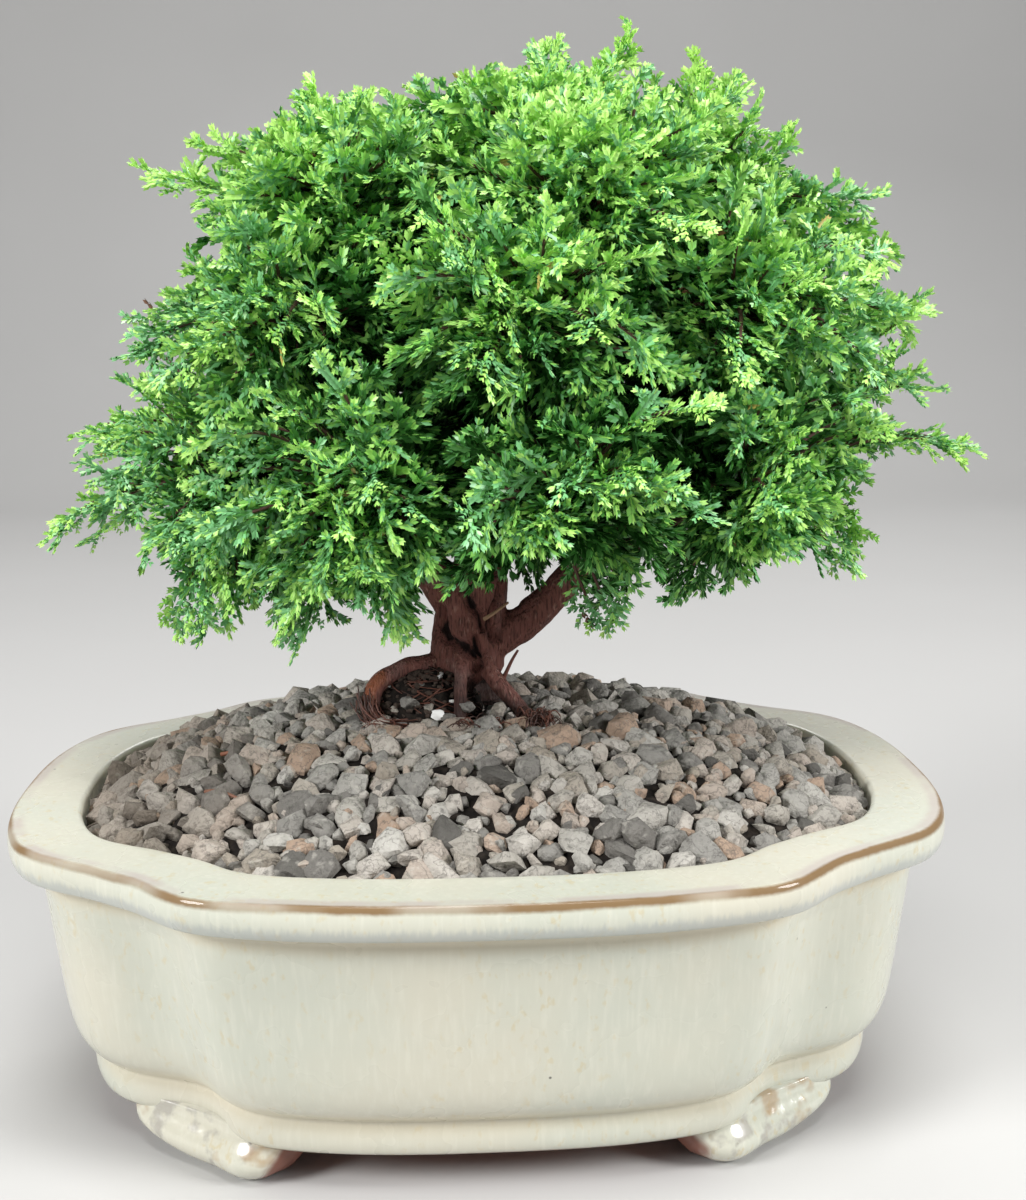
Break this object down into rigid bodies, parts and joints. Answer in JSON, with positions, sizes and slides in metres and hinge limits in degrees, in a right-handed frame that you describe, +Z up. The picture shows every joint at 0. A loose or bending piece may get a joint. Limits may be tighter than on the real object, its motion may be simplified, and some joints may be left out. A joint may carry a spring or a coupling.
{
  "type": "cypress bonsai in pot",
  "caption": "Dwarf cypress bonsai with a dense dome of fan-shaped scale-leaf sprays on a short flared trunk, standing in a footed, lobed, cream-glazed pot filled with gravel.",
  "frame": {"origin": "under the middle of the whole plant's bounding box, on the surface that the pot's feet stand on", "axes": "+X to the right along the pot's length seen from the front, +Y to the back, +Z up"},
  "size_m": [0.214, 0.1566, 0.23],
  "materials": {
    "glaze": "glossy cream glaze",
    "gravel": "matt crushed gravel",
    "bark": "rough flaking bark",
    "foliage": "satin scale leaves"
  },
  "bodies": {
    "root": {"pot": "glaze", "gravel_bed": "gravel", "trunk": "bark", "stem_right": "bark", "stem_left": "bark", "stem_centre": "bark", "bough_low_1": "bark", "bough_low_2": "bark", "bough_low_3": "bark", "bough_low_4": "bark", "bough_low_5": "bark", "bough_low_6": "bark", "bough_low_7": "bark", "bough_low_8": "bark", "bough_middle_1": "bark", "bough_middle_2": "bark", "bough_middle_3": "bark", "bough_middle_4": "bark", "bough_middle_5": "bark", "bough_middle_6": "bark", "bough_high_1": "bark", "bough_high_2": "bark", "bough_high_3": "bark", "bough_high_4": "bark", "bough_top_1": "bark", "foliage_low_1": "foliage", "foliage_low_2": "foliage", "foliage_low_3": "foliage", "foliage_low_4": "foliage", "foliage_low_5": "foliage", "foliage_low_6": "foliage", "foliage_low_7": "foliage", "foliage_low_8": "foliage", "foliage_middle_1": "foliage", "foliage_middle_2": "foliage", "foliage_middle_3": "foliage", "foliage_middle_4": "foliage", "foliage_middle_5": "foliage", "foliage_middle_6": "foliage", "foliage_high_1": "foliage", "foliage_high_2": "foliage", "foliage_high_3": "foliage", "foliage_high_4": "foliage", "foliage_top_1": "foliage"}
  },
  "joints": []
}
